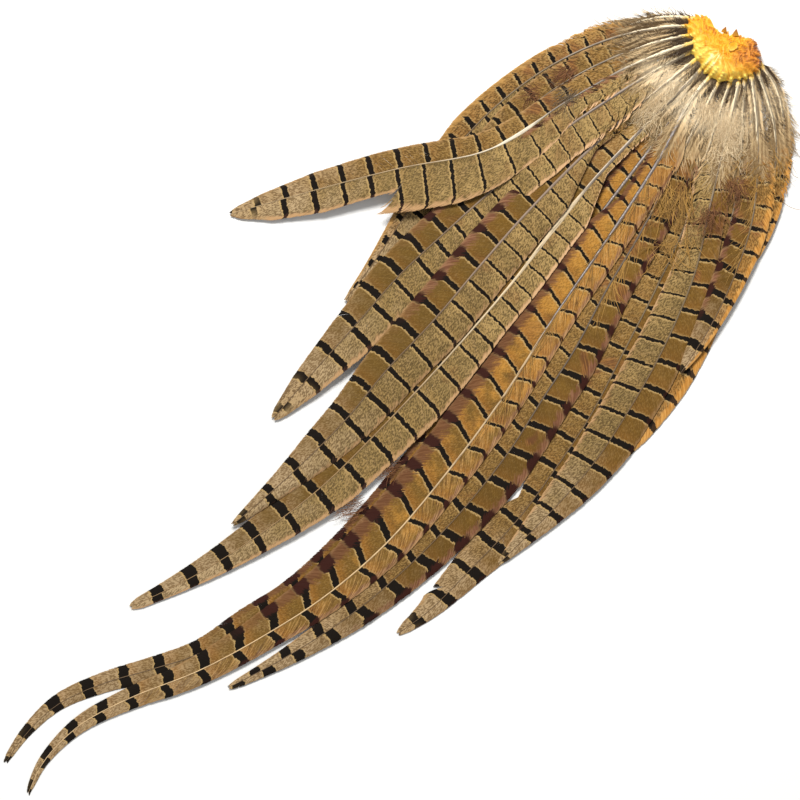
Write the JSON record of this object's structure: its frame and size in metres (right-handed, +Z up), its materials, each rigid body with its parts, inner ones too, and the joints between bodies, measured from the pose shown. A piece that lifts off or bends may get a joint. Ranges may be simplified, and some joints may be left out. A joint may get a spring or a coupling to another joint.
{
  "type": "pheasant tail of barred feathers",
  "caption": "Dried cock pheasant tail: long, barred, olive and buff feathers with curved tips, fanned from a small pad of orange skin and lying flat",
  "frame": {"origin": "on the table under the skin pad, where the quills meet; the flat underside of the skin pad", "axes": "+X runs along the tail from the skin to the feather tips, +Z is up, away from the table, and +Y is to the left looking from the skin towards the tips"},
  "size_m": [0.5244, 0.2298, 0.0132],
  "materials": {
    "olive_vane": "feather vane, olive brown, satin",
    "buff_vane": "feather vane, mottled buff, satin",
    "grey_vane": "downy feather, grey brown, matte",
    "skin": "dried skin, waxy"
  },
  "bodies": {
    "root": {"skin_pad": "skin", "central_feather_1": "olive_vane", "central_feather_2": "olive_vane", "left_feather_1": "buff_vane", "left_feather_2": "buff_vane", "left_feather_3": "buff_vane", "left_feather_4": "buff_vane", "left_feather_5": "olive_vane", "left_feather_6": "grey_vane", "left_feather_7": "grey_vane", "right_feather_1": "olive_vane", "right_feather_2": "buff_vane", "right_feather_3": "buff_vane", "right_feather_4": "olive_vane", "right_feather_5": "olive_vane", "right_feather_6": "grey_vane", "right_feather_7": "grey_vane"}
  },
  "joints": []
}
